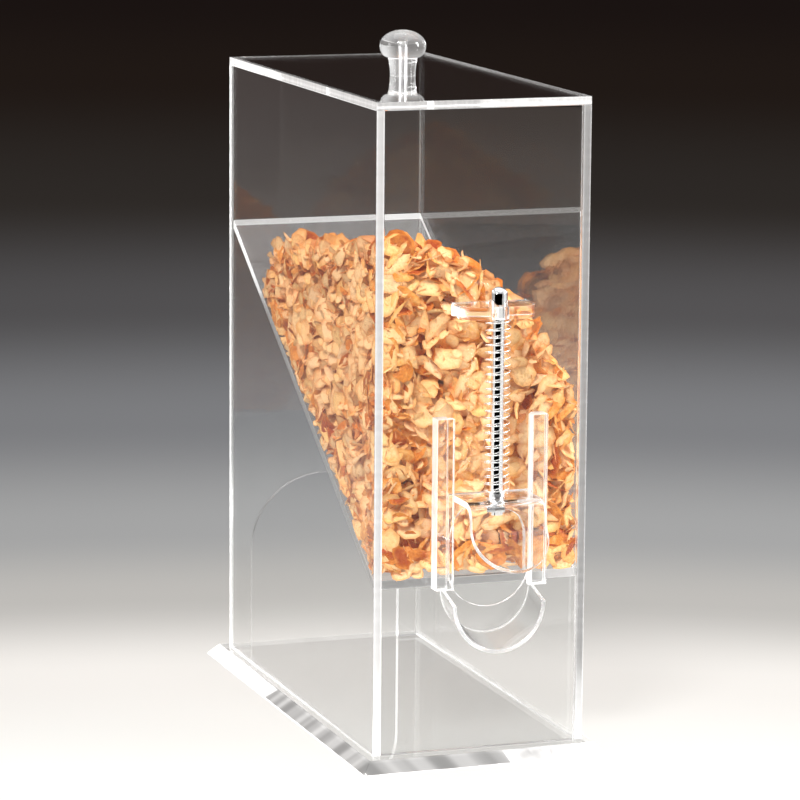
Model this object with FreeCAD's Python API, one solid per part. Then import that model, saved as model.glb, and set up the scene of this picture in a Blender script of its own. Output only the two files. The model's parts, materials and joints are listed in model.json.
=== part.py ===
import FreeCAD, Part
import math
import os
import random

# Gravity bulk food bin, millimetres.  +Z is up, the front faces -Y, and the origin is
# on the underside of the base plate, at the middle of the box.

V = FreeCAD.Vector
X_AXIS, Y_AXIS, Z_AXIS = V(1, 0, 0), V(0, 1, 0), V(0, 0, 1)

# ---- box ----
box_width = 165.0
box_depth = 358.0
wall_height = 474.5
sheet = 6.0

# ---- base plate ----
base_thickness = 9.5
base_overhang_side = 13.0
base_overhang_end = 18.0
base_bevel_run = 7.5
base_land = 1.2

# ---- sloping floor ----
ramp_lip_height = 140.5
ramp_rise = 220.0
ramp_sheet = 6.0

# ---- arched cut-out in the back ----
arch_width = 121.0
arch_top_height = 150.5

# ---- lid and knob ----
lid_thickness = 6.0
knob_head_diameter = 35.5
knob_head_height = 21.0
knob_neck_top_diameter = 23.0
knob_neck_diameter = 19.5
knob_height = 35.0
knob_widest_height = 9.0
screw_diameter = 5.0
screw_depth_in_knob = 24.0
screw_head_diameter = 10.0
screw_head_height = 3.0
screw_clearance = 0.05

# ---- outlet, gate and guides ----
gate_offset = 4.5
opening_width = 59.0
opening_top_height = 196.5
gate_side_cover = 3.0
gate_thickness = 5.0
gate_back_gap = 0.4
gate_bottom_height = 117.5
gate_top_height = 203.0
gate_side_gap = 0.4
guide_bottom_height = 133.0
guide_top_height = 260.0
spacer_width = 10.0
spacer_thickness = 6.0
cover_thickness = 6.0

# ---- lift lip ----
lip_side_gap = 0.5
lip_sheet = 4.5
lip_shelf_run = 29.0
lip_bend_radius = 8.0
lip_drop_angle = 84.0
lip_drop_run = 6.5
lip_flare_angle = 34.0
lip_end_straight = 1.0

# ---- rod, spring and bracket ----
rod_distance = 19.0
rod_diameter = 9.6
rod_fit = 0.08
bracket_width = 58.0
bracket_depth = 30.0
bracket_thickness = 9.5
bracket_bottom_height = 334.0
bracket_corner_radius = 16.0
bushing_wall = 1.9
cap_diameter = 13.5
cap_height = 13.0
cap_dome_height = 4.0
collar_diameter = 12.5
collar_height = 4.0
nut_across_flats = 13.0
nut_height = 6.0
rod_tail = 3.0
spring_outer_diameter = 19.6
spring_wire = 1.3
spring_pitch = 5.3
spring_end_gap = 0.3

# ---- spout ----
spout_radius = 36.0
spout_wall = 3.0
spout_length = 29.0
spout_slope = 15.0
spout_top_gap = 0.3

# ---- contents ----
fill_gap = 0.3
fill_front_height = 393.0
fill_fall_back = 0.14
fill_fall_right = 0.26
fill_right_edge = 58.0
fill_right_slope = 1.75
fill_back_edge = 105.0
fill_back_slope = 1.16
lump_spacing = 34.0
lump_height = 8.5
lump_seed = 5

# ---- worked out from the sizes above ----
round_pull = 4 / 3 * (math.sqrt(2) - 1)
half_width = box_width / 2
half_depth = box_depth / 2
inner_half_width = half_width - sheet
inner_width = box_width - 2 * sheet
front_face = -half_depth
front_inner = front_face + sheet
back_inner = half_depth - sheet
box_bottom = base_thickness
box_top = base_thickness + wall_height
lid_top = box_top + lid_thickness

opening_half_width = opening_width / 2
gate_half_width = opening_half_width + gate_side_cover
gate_back = front_face - gate_back_gap
gate_front = gate_back - gate_thickness
spacer_inner = gate_half_width + gate_side_gap
guide_outer = spacer_inner + spacer_width
cover_inner = opening_half_width
lip_half_width = cover_inner - lip_side_gap
shelf_top = gate_top_height
shelf_bottom = shelf_top - lip_sheet
rod_y = front_face - rod_distance
bracket_top = bracket_bottom_height + bracket_thickness
bushing_inner_radius = rod_diameter / 2 + rod_fit
bushing_outer_radius = bushing_inner_radius + bushing_wall
collar_top = shelf_top + collar_height
nut_bottom = shelf_bottom - nut_height
spring_bottom = shelf_top + spring_end_gap
spring_top = bracket_bottom_height - spring_end_gap
spout_axis_height = guide_bottom_height - spout_top_gap


def block(x0, x1, y0, y1, z0, z1):
    """Rectangular sheet or bar between two corners."""
    return Part.makeBox(x1 - x0, y1 - y0, z1 - z0, V(x0, y0, z0))


def rod_piece(radius, z0, z1):
    """Upright cylinder on the axis of the lift rod."""
    return Part.makeCylinder(radius, z1 - z0, V(gate_offset, rod_y, z0))


def arch_cutter(centre_x, width, bottom, top, y0, y1):
    """Round-topped upright opening, to cut through a wall from y0 to y1."""
    radius = width / 2
    spring_line = top - radius
    legs = block(centre_x - radius, centre_x + radius, y0, y1, bottom, spring_line)
    crown = Part.makeCylinder(radius, y1 - y0, V(centre_x, y0, spring_line), Y_AXIS)
    crown = crown.common(block(centre_x - radius, centre_x + radius, y0, y1, spring_line, top))
    return legs.fuse(crown).removeSplitter()


def extruded_outline(edges, direction):
    """Solid from a closed outline of edges."""
    wire = Part.Wire(Part.__sortEdges__(edges))
    return Part.Face(wire).extrude(direction)


def polygon_solid(points, direction):
    return Part.Face(Part.makePolygon(points + [points[0]])).extrude(direction)


def half_space_above(point, normal, reach):
    """Large block on the side of a plane that its normal points to."""
    plate = Part.makePlane(2 * reach, 2 * reach, V(-reach, -reach, 0))
    plate.Placement = FreeCAD.Placement(point, FreeCAD.Rotation(Z_AXIS, normal))
    return plate.extrude(V(normal).normalize() * reach)


# ---- box pieces ----

def make_base_plate():
    x_foot = half_width + base_overhang_side
    y_foot = half_depth + base_overhang_end

    def outline(inset, height):
        x, y = x_foot - inset, y_foot - inset
        corners = [V(-x, -y, height), V(x, -y, height), V(x, y, height), V(-x, y, height)]
        return Part.makePolygon(corners + [corners[0]])

    land = block(-x_foot, x_foot, -y_foot, y_foot, 0, base_land)
    bevel = Part.makeLoft([outline(0, base_land), outline(base_bevel_run, base_thickness)], True)
    return land.fuse(bevel).removeSplitter()


def make_side_panel(side):
    x0, x1 = sorted((side * inner_half_width, side * half_width))
    return block(x0, x1, -half_depth, half_depth, box_bottom, box_top)


def make_front_panel():
    panel = block(-inner_half_width, inner_half_width, front_face, front_inner, box_bottom, box_top)
    return panel.cut(arch_cutter(gate_offset, opening_width, ramp_lip_height,
                                 opening_top_height, front_face, front_inner))


def make_back_panel():
    panel = block(-inner_half_width, inner_half_width, back_inner, half_depth, box_bottom, box_top)
    return panel.cut(arch_cutter(0, arch_width, box_bottom, arch_top_height, back_inner, half_depth))


def make_ramp():
    run = back_inner - front_inner
    drop = ramp_sheet * math.hypot(run, ramp_rise) / run
    x = -inner_half_width
    lip, crest = ramp_lip_height, ramp_lip_height + ramp_rise
    corners = [V(x, front_inner, lip), V(x, back_inner, crest),
               V(x, back_inner, crest - drop), V(x, front_inner, lip - drop)]
    return polygon_solid(corners, V(inner_width, 0, 0))


# ---- lid ----

def screw_shank(radius):
    return Part.makeCylinder(radius, lid_thickness + screw_depth_in_knob, V(0, 0, box_top))


def make_lid():
    sheet_block = block(-half_width, half_width, -half_depth, half_depth, box_top, lid_top)
    return sheet_block.cut(screw_shank(screw_diameter / 2 + screw_clearance))


def curve(*poles):
    """Smooth curve that leaves and arrives along its first and last pole pairs."""
    bezier = Part.BezierCurve()
    bezier.setPoles(list(poles))
    return bezier.toShape()


def make_lid_knob():
    """Ball knob: waisted neck under a flattened round head."""
    head_radius = knob_head_diameter / 2
    throat_radius = knob_neck_top_diameter / 2
    head_base = lid_top + knob_height - knob_head_height
    widest = head_base + knob_widest_height
    top = lid_top + knob_height
    tip, rim, throat = V(0, 0, top), V(head_radius, 0, widest), V(throat_radius, 0, head_base)
    foot, centre = V(knob_neck_diameter / 2, 0, lid_top), V(0, 0, lid_top)
    rise = V(0, 0, top - widest) * round_pull
    fall = V(0, 0, head_base - widest) * round_pull
    out = V(head_radius, 0, 0) * round_pull
    back = V(head_radius - throat_radius, 0, 0) * round_pull
    edges = [
        curve(tip, tip + out, rim + rise, rim),
        curve(rim, rim + fall, throat + back, throat),
        curve(throat, V(foot.x, 0, (throat.z + foot.z) / 2), foot),
        Part.LineSegment(foot, centre).toShape(),
        Part.LineSegment(centre, tip).toShape(),
    ]
    knob = Part.Face(Part.Wire(edges)).revolve(V(0, 0, 0), Z_AXIS, 360)
    return knob.cut(screw_shank(screw_diameter / 2 + screw_clearance))


def make_knob_screw():
    head = Part.makeCylinder(screw_head_diameter / 2, screw_head_height,
                             V(0, 0, box_top - screw_head_height))
    return head.fuse(screw_shank(screw_diameter / 2)).removeSplitter()


# ---- guides and gate ----

def make_guide_spacer(side):
    x0, x1 = sorted((side * spacer_inner, side * guide_outer))
    return block(gate_offset + x0, gate_offset + x1, front_face - spacer_thickness, front_face,
                 guide_bottom_height, guide_top_height)


def make_guide_cover(side):
    x0, x1 = sorted((side * cover_inner, side * guide_outer))
    back = front_face - spacer_thickness
    return block(gate_offset + x0, gate_offset + x1, back - cover_thickness, back,
                 guide_bottom_height, guide_top_height)


def make_gate_plate():
    centre = gate_bottom_height + gate_half_width
    plate = block(gate_offset - gate_half_width, gate_offset + gate_half_width,
                  gate_front, gate_back, centre, gate_top_height)
    round_end = Part.makeCylinder(gate_half_width, gate_thickness, V(gate_offset, gate_front, centre), Y_AXIS)
    return plate.fuse(round_end).removeSplitter()


def bent_strip_outline(start, heading, moves, thickness):
    """Outline of a bent strip in the plane x = start.x, from the moves of its middle line.

    moves are ("run", length) or ("bend", degrees, inside radius); a positive bend turns
    the heading upwards.  Returns the outline's edges, and the last point and heading.
    """
    half = thickness / 2
    point, angle = start, math.radians(heading)

    def along(a):
        return V(0, math.cos(a), math.sin(a))

    def across(a):
        return V(0, -math.sin(a), math.cos(a))

    def line(p, q):
        return Part.LineSegment(p, q).toShape()

    edges = [line(point + across(angle) * half, point - across(angle) * half)]
    for move in moves:
        if move[0] == "run":
            after = point + along(angle) * move[1]
            edges += [line(point + offset, after + offset)
                      for offset in (across(angle) * half, across(angle) * -half)]
            point = after
            continue
        turn = math.radians(move[1])
        sense = math.copysign(1, turn)
        middle_radius = move[2] + half
        hub = point + across(angle) * (sense * middle_radius)
        for radius in (middle_radius - half, middle_radius + half):
            arc = [hub - across(a) * (sense * radius) for a in (angle, angle + turn / 2, angle + turn)]
            edges.append(Part.Arc(*arc).toShape())
        angle += turn
        point = hub - across(angle) * (sense * middle_radius)
    edges.append(line(point + across(angle) * half, point - across(angle) * half))
    return edges, point, angle


def make_lift_lip():
    """Shelf on the gate that bends down and flares out into a round-ended lip."""
    flare_length = lip_half_width + lip_end_straight
    start = V(gate_offset - lip_half_width, gate_front, shelf_top - lip_sheet / 2)
    moves = [("run", lip_shelf_run), ("bend", lip_drop_angle, lip_bend_radius), ("run", lip_drop_run),
             ("bend", -lip_flare_angle, lip_bend_radius), ("run", flare_length)]
    edges, tip, angle = bent_strip_outline(start, 180, moves, lip_sheet)
    strip = extruded_outline(edges, V(2 * lip_half_width, 0, 0))
    down = V(0, math.cos(angle), math.sin(angle))
    normal = V(0, -math.sin(angle), math.cos(angle))
    middle = V(gate_offset, tip.y, tip.z) - down * lip_half_width
    keep = Part.makeCylinder(lip_half_width, 2 * lip_sheet, middle - normal * lip_sheet, normal)
    tail = Part.makeBox(2 * lip_half_width, 2 * lip_sheet, lip_half_width)
    tail.Placement = FreeCAD.Placement(
        V(gate_offset - lip_half_width, middle.y, middle.z) + normal * lip_sheet,
        FreeCAD.Rotation(X_AXIS, -normal, down))
    lip = strip.cut(tail.cut(keep))
    return lip.cut(rod_piece(bushing_inner_radius, shelf_bottom - lip_sheet, shelf_top + lip_sheet))


# ---- rod, spring and bracket ----

def make_spring_bracket():
    x0, x1 = gate_offset - bracket_width / 2, gate_offset + bracket_width / 2
    tab = block(x0, x1, front_face - bracket_depth, front_face, bracket_bottom_height, bracket_top)
    front_corners = [e for e in tab.Edges
                     if e.BoundBox.ZLength > bracket_thickness / 2 and e.CenterOfMass.y < rod_y]
    tab = tab.makeFillet(bracket_corner_radius, front_corners)
    return tab.cut(rod_piece(bushing_outer_radius, bracket_bottom_height, bracket_top))


def make_bracket_bushing():
    sleeve = rod_piece(bushing_outer_radius, bracket_bottom_height, bracket_top)
    return sleeve.cut(rod_piece(bushing_inner_radius, bracket_bottom_height, bracket_top))


def make_lift_rod():
    return rod_piece(rod_diameter / 2, nut_bottom - rod_tail, bracket_top + cap_height - cap_dome_height)


def make_rod_cap():
    """Domed cap over the end of the rod; its rim rests on the bracket."""
    radius = cap_diameter / 2
    side_top = bracket_top + cap_height - cap_dome_height
    body = rod_piece(radius, bracket_top, side_top)
    dome_radius = (radius ** 2 + cap_dome_height ** 2) / (2 * cap_dome_height)
    dome = Part.makeSphere(dome_radius, V(gate_offset, rod_y, side_top + cap_dome_height - dome_radius))
    dome = dome.common(rod_piece(radius, side_top, side_top + cap_dome_height))
    return body.fuse(dome).removeSplitter().cut(rod_piece(rod_diameter / 2, bracket_top, side_top))


def make_rod_collar():
    collar = rod_piece(collar_diameter / 2, shelf_top, collar_top)
    return collar.cut(rod_piece(rod_diameter / 2, shelf_top, collar_top))


def make_rod_nut():
    radius = nut_across_flats / math.sqrt(3)
    corners = [V(gate_offset + radius * math.cos(math.radians(a)),
                 rod_y + radius * math.sin(math.radians(a)), nut_bottom) for a in range(0, 360, 60)]
    nut = polygon_solid(corners, V(0, 0, nut_height))
    return nut.cut(rod_piece(rod_diameter / 2, nut_bottom, shelf_bottom))


def make_lift_spring():
    mean_radius = (spring_outer_diameter - spring_wire) / 2
    wire_radius = spring_wire / 2
    end_dip = wire_radius * spring_pitch / (math.pi * mean_radius)
    height = spring_top - spring_bottom - spring_wire - 2 * end_dip
    pitch = height / round(height / spring_pitch)
    helix = Part.makeHelix(pitch, height, mean_radius)
    section = Part.Wire(Part.makeCircle(wire_radius, V(mean_radius, 0, 0), Y_AXIS))
    spring = Part.Wire(helix).makePipeShell([section], True, True)
    spring.translate(V(gate_offset, rod_y, spring_bottom + wire_radius + end_dip))
    return spring


# ---- spout and contents ----

def make_spout():
    """Half-round trough that slopes down and forward from the front panel."""
    slope = math.radians(spout_slope)
    down = V(0, -math.cos(slope), -math.sin(slope))
    root = V(gate_offset, front_face, spout_axis_height)
    reach = spout_length + 2 * spout_radius
    start = root - down * spout_radius
    tube = Part.makeCylinder(spout_radius, reach, start, down)
    tube = tube.cut(Part.makeCylinder(spout_radius - spout_wall, reach, start, down))
    window = block(gate_offset - spout_radius, gate_offset + spout_radius, front_face - spout_length,
                   front_face, spout_axis_height - reach, spout_axis_height + reach)
    lower_half = half_space_above(root, V(0, math.sin(slope), -math.cos(slope)), reach)
    return tube.common(window).common(lower_half)


def heap_height(x, y):
    """Height of the heap without its lumps: one broad fall, steeper at the right and the back."""
    broad = (fill_front_height - fill_fall_right * (x + inner_half_width)
             - fill_fall_back * (y - front_inner))
    past_right = x - inner_half_width + fill_right_edge
    past_back = y - back_inner + fill_back_edge
    return min(broad, broad - (fill_right_slope - fill_fall_right) * past_right,
               broad - (fill_back_slope - fill_fall_back) * past_back)


def lumpy_block(x0, x1, y0, y1, bottom):
    """Upright block whose top follows the heap, with hollows between the lumps."""
    columns, rows = round((x1 - x0) / lump_spacing), round((y1 - y0) / lump_spacing)
    dice = random.Random(lump_seed)
    top = []
    for i in range(columns + 1):
        x = x0 + (x1 - x0) * i / columns
        ys = [y0 + (y1 - y0) * j / rows for j in range(rows + 1)]
        top.append([V(x, y, heap_height(x, y) - lump_height * dice.random()) for y in ys])

    def foot(point):
        return V(point.x, point.y, bottom)

    borders = [top[0], top[-1], [line[0] for line in top], [line[-1] for line in top]]
    outlines = [border + [foot(border[-1]), foot(border[0])] for border in borders]
    outlines.append([foot(top[0][0]), foot(top[0][-1]), foot(top[-1][-1]), foot(top[-1][0])])
    for i in range(columns):
        for j in range(rows):
            a, b, c, d = top[i][j], top[i + 1][j], top[i + 1][j + 1], top[i][j + 1]
            outlines += [[a, b, c], [a, c, d]] if (i + j) % 2 else [[a, b, d], [b, c, d]]
    shell = Part.Shell([Part.Face(Part.makePolygon(points + points[:1])) for points in outlines])
    return Part.Solid(shell)


def make_cereal_fill():
    """Heap of flakes on the sloping floor, lower at the right and at the back."""
    x0, x1 = -inner_half_width + fill_gap, inner_half_width - fill_gap
    y0 = front_inner + fill_gap
    run = back_inner - front_inner
    lift = fill_gap * math.hypot(run, ramp_rise) / run
    floor_front = ramp_lip_height + lift
    corners = [V(x0, y0, floor_front + fill_gap), V(x0, back_inner, floor_front + ramp_rise),
               V(x0, back_inner, box_top), V(x0, y0, box_top)]
    above_ramp = polygon_solid(corners, V(x1 - x0, 0, 0))
    return above_ramp.common(lumpy_block(x0, x1, y0, back_inner, ramp_lip_height))


pieces = {
    "base_plate": make_base_plate(),
    "left_panel": make_side_panel(-1),
    "right_panel": make_side_panel(1),
    "front_panel": make_front_panel(),
    "back_panel": make_back_panel(),
    "ramp": make_ramp(),
    "lid": make_lid(),
    "lid_knob": make_lid_knob(),
    "knob_screw": make_knob_screw(),
    "guide_spacer_left": make_guide_spacer(-1),
    "guide_spacer_right": make_guide_spacer(1),
    "guide_cover_left": make_guide_cover(-1),
    "guide_cover_right": make_guide_cover(1),
    "gate_plate": make_gate_plate(),
    "lift_lip": make_lift_lip(),
    "spring_bracket": make_spring_bracket(),
    "bracket_bushing": make_bracket_bushing(),
    "lift_rod": make_lift_rod(),
    "rod_cap": make_rod_cap(),
    "rod_collar": make_rod_collar(),
    "rod_nut": make_rod_nut(),
    "lift_spring": make_lift_spring(),
    "spout": make_spout(),
    "cereal_fill": make_cereal_fill(),
}

os.makedirs("parts", exist_ok=True)
for node, shape in pieces.items():
    if not shape.isValid() or shape.Volume <= 0:
        raise ValueError("bad solid: " + node)
    shape.exportStep("parts/" + node + ".step")
    box = shape.BoundBox
    print("%-20s solids %d volume %9.1f  x %7.2f..%7.2f  y %8.2f..%8.2f  z %7.2f..%7.2f" % (
        node, len(shape.Solids), shape.Volume, box.XMin, box.XMax, box.YMin, box.YMax, box.ZMin, box.ZMax))
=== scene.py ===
# %% [markdown]
# # A gravity bulk food bin, dressed for the camera
# The bin is a tall box of clear acrylic sheet with a sloping floor inside.  A spring holds
# a sliding gate shut over the outlet; pushing the bent lip up lets the flakes run out.
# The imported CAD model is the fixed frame: rigid metal parts are shown as they are, clear
# sheets by copies that are eased apart at their glue lines, the spring by a skinned centre
# line, and the plain solid of the contents by thousands of flakes.  Everything is in
# metres, +Z up, with the front facing -Y.

import json
import math
import random

import bmesh
import bpy
from mathutils import Matrix, Vector, noise

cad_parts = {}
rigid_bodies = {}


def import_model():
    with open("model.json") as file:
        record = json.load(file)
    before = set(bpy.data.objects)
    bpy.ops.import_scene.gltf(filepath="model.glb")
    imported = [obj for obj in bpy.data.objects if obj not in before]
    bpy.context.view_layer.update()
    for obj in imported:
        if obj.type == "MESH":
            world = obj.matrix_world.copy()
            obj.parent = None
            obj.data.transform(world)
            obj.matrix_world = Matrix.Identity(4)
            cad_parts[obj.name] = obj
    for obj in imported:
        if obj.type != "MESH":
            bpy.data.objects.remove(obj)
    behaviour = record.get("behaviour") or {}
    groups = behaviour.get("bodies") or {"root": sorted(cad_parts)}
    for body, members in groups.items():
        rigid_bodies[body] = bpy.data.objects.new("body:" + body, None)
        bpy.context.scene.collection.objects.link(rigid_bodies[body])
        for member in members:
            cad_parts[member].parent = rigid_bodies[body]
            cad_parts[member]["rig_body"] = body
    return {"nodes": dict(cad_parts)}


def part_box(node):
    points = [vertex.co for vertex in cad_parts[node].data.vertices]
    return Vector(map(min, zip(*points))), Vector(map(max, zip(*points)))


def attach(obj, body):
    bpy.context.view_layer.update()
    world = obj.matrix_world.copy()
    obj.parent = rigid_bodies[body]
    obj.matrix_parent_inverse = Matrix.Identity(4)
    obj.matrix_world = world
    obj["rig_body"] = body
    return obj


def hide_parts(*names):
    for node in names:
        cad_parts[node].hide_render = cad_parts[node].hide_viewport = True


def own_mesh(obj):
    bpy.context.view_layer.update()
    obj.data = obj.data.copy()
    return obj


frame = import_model()
nodes = frame["nodes"]
scene = bpy.context.scene
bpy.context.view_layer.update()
mm = 0.001
X, Y, Z = Vector((1, 0, 0)), Vector((0, 1, 0)), Vector((0, 0, 1))

# %% [markdown]
# ## Camera
# A long lens from the front left and a little above keeps the upright edges nearly
# parallel.  The camera could be aimed with a constraint, but three angles say the same
# thing in one matrix and leave nothing live in the scene.

# %% the camera
camera_place = Vector((-1.01685, -2.87453, 0.78791))
camera_turn, camera_tilt, camera_roll = (math.radians(a) for a in (19.48, 10.19, 0.45))
lens_mm = 181.05

aim = Vector((math.sin(camera_turn) * math.cos(camera_tilt),
              math.cos(camera_turn) * math.cos(camera_tilt), -math.sin(camera_tilt)))
level = Vector((math.cos(camera_turn), -math.sin(camera_turn), 0))
camera_matrix = Matrix((level, level.cross(aim), -aim)).transposed()
camera_matrix = camera_matrix @ Matrix.Rotation(camera_roll, 3, "Z")

camera = bpy.data.objects.new("camera", bpy.data.cameras.new("camera"))
camera.data.lens = lens_mm
camera.matrix_world = Matrix.Translation(camera_place) @ camera_matrix.to_4x4()
scene.collection.objects.link(camera)
scene.camera = camera
print("camera looks along", [round(c, 3) for c in aim])

# %% [markdown]
# ## Helpers for node trees
# A material is a small network.  A few helpers keep each network short: one adds a node
# and feeds its inputs, and the others do one sum, one blend or one row of colours.

# %% node helpers
FLOAT, VECTOR, COLOUR = "NodeSocketFloat", "NodeSocketVector", "NodeSocketColor"


def put(tree, kind, inputs=None, **options):
    """Adds a node; an input is fed by a value or by another node's output."""
    node = tree.nodes.new(kind)
    for name, value in options.items():
        setattr(node, name, value)
    for name, value in (inputs or {}).items():
        if isinstance(value, bpy.types.NodeSocket):
            tree.links.new(value, node.inputs[name])
        else:
            node.inputs[name].default_value = value
    return node


def calc(tree, operation, *values):
    """One sum on numbers."""
    return put(tree, "ShaderNodeMath", dict(enumerate(values)), operation=operation).outputs[0]


def vector_calc(tree, operation, *values, output=0):
    """One sum on vectors."""
    return put(tree, "ShaderNodeVectorMath", dict(enumerate(values)),
               operation=operation).outputs[output]


def between(tree, value, low, high, to_low=0.0, to_high=1.0):
    """Smooth step of a value from one range to another."""
    return put(tree, "ShaderNodeMapRange",
               {0: value, 1: low, 2: high, 3: to_low, 4: to_high},
               interpolation_type="SMOOTHSTEP").outputs[0]


def blend_colours(tree, factor, first, second, mode="MIX"):
    """Two colours mixed by a factor."""
    return put(tree, "ShaderNodeMix", {0: factor, 6: first, 7: second},
               data_type="RGBA", blend_type=mode).outputs[2]


def colour_stops(tree, value, tones, interpolation="LINEAR"):
    """A colour read from a row of (position, colour) stops."""
    ramp = put(tree, "ShaderNodeValToRGB", {0: value})
    ramp.color_ramp.interpolation = interpolation
    stops = ramp.color_ramp.elements
    while len(stops) < len(tones):
        stops.new(1.0)
    for stop, (position, colour) in zip(stops, tones):
        stop.position = position
        stop.color = (*colour, 1)
    return ramp.outputs[0]


# %% [markdown]
# ## Helpers for groups, materials and pieces
# A group is built once and placed in each material with that material's own values.  A new
# piece is an object at the origin, with its place in its mesh, so that a pattern on object
# coordinates stays where it is on the piece.

# %% helpers for groups, materials and pieces
def use_group(tree, group, values):
    """Places a shared group in a material, with the material's own values."""
    node = tree.nodes.new("ShaderNodeGroup")
    node.node_tree = group
    for title, value in values.items():
        node.inputs[title].default_value = value
    return node.outputs


def new_group(name, kind, inputs, outputs):
    """An empty node group with named sockets: returns the group, its inputs and its end."""
    group = bpy.data.node_groups.new(name, kind)
    for in_out, sockets in (("INPUT", inputs), ("OUTPUT", outputs)):
        for title, socket_type, *default in sockets:
            socket = group.interface.new_socket(name=title, in_out=in_out, socket_type=socket_type)
            if default:
                socket.default_value = default[0]
    start = group.nodes.new("NodeGroupInput").outputs
    end = group.nodes.new("NodeGroupOutput").inputs
    return group, start, end


def new_material(name):
    """A material with an empty tree and an output node."""
    material = bpy.data.materials.new(name)
    material.use_nodes = True
    tree = material.node_tree
    tree.nodes.clear()
    return material, tree, tree.nodes.new("ShaderNodeOutputMaterial")


def new_piece(name, shape):
    """An object at the origin with the mesh of a finished bmesh, which is freed."""
    mesh = bpy.data.meshes.new(name)
    shape.to_mesh(mesh)
    shape.free()
    piece = bpy.data.objects.new(name, mesh)
    scene.collection.objects.link(piece)
    return piece


def merged_copy(node_name, join_within=0.001 * mm):
    """A copy of a CAD node's mesh, with its loose triangles joined."""
    shape = bmesh.new()
    shape.from_mesh(nodes[node_name].data)
    bmesh.ops.remove_doubles(shape, verts=shape.verts, dist=join_within)
    return shape


# %% [markdown]
# ## Floor
# The bin stands on a pale sheet that falls off into the dark behind it, so that the clear
# edges read as bright lines at the top and soft grey ones at the foot.  One wide disc does
# that with a painted pool of light: its colour fades with the distance from a point in front
# of the bin.  The sheet mostly glows by itself, as a light table does, and takes only a small
# share of the light, which keeps its shadows soft.  It lies a little below the foot plate's
# underside, so that the two never share a plane.

# %% the floor
pool_centre = Vector((-0.53, -1.51, 0))
floor_drop = 0.6 * mm
floor_radius = 14.0
glow_strength = 0.70
lit_share = 0.25
pool_edge = 8.5
# the painted pool of light: colour and glow by distance from its centre
pool_tones = (  # distance from the pool's centre in metres, colour
    (1.40, (0.91, 0.90, 0.865)), (1.70, (0.80, 0.77, 0.735)), (1.97, (0.45, 0.435, 0.415)),
    (2.25, (0.325, 0.325, 0.325)), (2.80, (0.178, 0.180, 0.188)), (3.60, (0.075, 0.072, 0.074)),
    (4.70, (0.031, 0.026, 0.023)), (6.50, (0.018, 0.012, 0.0095)), (pool_edge, (0.013, 0.0085, 0.0075)))


def make_floor():
    """A disc under the bin, with its painted pool of light."""
    shape = bmesh.new()
    bmesh.ops.create_circle(shape, cap_ends=True, segments=96, radius=floor_radius)
    shape.transform(Matrix.Translation((0, 0, -floor_drop)))
    floor = new_piece("floor", shape)
    material, tree, out = new_material("pale_sheet_painted_pool")
    place = put(tree, "ShaderNodeTexCoord").outputs["Object"]
    away = vector_calc(tree, "DISTANCE", place, pool_centre, output=1)
    share = calc(tree, "DIVIDE", away, pool_edge)
    tones = [(distance / pool_edge, colour) for distance, colour in pool_tones]
    tone = colour_stops(tree, share, tones, "EASE")
    lit = blend_colours(tree, 1.0, tone, (lit_share, lit_share, lit_share, 1), "MULTIPLY")
    sheet = put(tree, "ShaderNodeBsdfPrincipled",
                {"Base Color": lit, "Roughness": 0.7, "Specular IOR Level": 0.0,
                 "Emission Color": tone, "Emission Strength": glow_strength})
    tree.links.new(sheet.outputs[0], out.inputs[0])
    floor.data.materials.append(material)


make_floor()
print("floor disc radius, m:", floor_radius)

# %% [markdown]
# ## Studio light
# Clear acrylic shows only what it mirrors and bends, so the light is a few large soft
# panels with darkness between them: two at the left, a strip at the right and one
# overhead, which the sloping floor of the hopper mirrors.  A panel behind lights matt
# things alone, so that the back isn't left dull.

# %% the light panels
def make_softbox(name, place, target, width, height, watts, mirrored=True):
    """A rectangular light aimed at a point, unseen by the camera itself."""
    lamp = bpy.data.lights.new(name, "AREA")
    lamp.shape = "RECTANGLE"
    lamp.size, lamp.size_y, lamp.energy = width, height, watts
    holder = bpy.data.objects.new(name, lamp)
    turn = (Vector(target) - Vector(place)).to_track_quat("-Z", "Y")
    holder.matrix_world = Matrix.Translation(place) @ turn.to_matrix().to_4x4()
    holder.visible_camera = False
    holder.visible_glossy = holder.visible_transmission = mirrored
    scene.collection.objects.link(holder)


bin_middle = (0, 0, 0.25)
make_softbox("front_left_panel", (-1.3, -1.5, 2.3), bin_middle, 0.6, 0.6, 70)
make_softbox("left_panel_light", (-2.3, 0.1, 1.0), bin_middle, 0.9, 1.2, 17)
make_softbox("back_panel_light", (1.3, 2.0, 1.5), bin_middle, 1.0, 1.0, 45, mirrored=False)
make_softbox("right_strip", (1.9, -1.0, 1.0), bin_middle, 0.5, 1.6, 50)
make_softbox("overhead_panel", (0.35, 0.3, 2.3), (0.1, 0.0, 0.0), 2.2, 2.0, 22)

# %% [markdown]
# Cards that only mirroring surfaces show do the rest: a black one in front keeps the lower
# front wall clear and gives the chrome its dark middle, and pale ones draw a veil over the
# left wall and the top of the front wall, and brighten the rod's right side.  A light
# would show there too, but it would also light the flakes.

# %% the cards
def make_card(name, place, target, width, height, colour):
    """An upright card that lights nothing and shows only in mirroring surfaces."""
    shape = bmesh.new()
    bmesh.ops.create_grid(shape, x_segments=1, y_segments=1, size=0.5)
    across = Vector(target) - Vector(place)
    across.z = 0
    turn = across.to_track_quat("Z", "Y").to_matrix().to_4x4()
    shape.transform(Matrix.Translation(place) @ turn @ Matrix.Diagonal((width, height, 1, 1)))
    card = new_piece(name, shape)
    card.visible_camera = card.visible_diffuse = False
    card.visible_shadow = card.visible_transmission = False
    material, tree, out = new_material(name)
    glow = put(tree, "ShaderNodeEmission", {"Color": (*colour, 1), "Strength": 1.0})
    tree.links.new(glow.outputs[0], out.inputs[0])
    material.cycles.emission_sampling = "NONE"
    card.data.materials.append(material)


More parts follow.
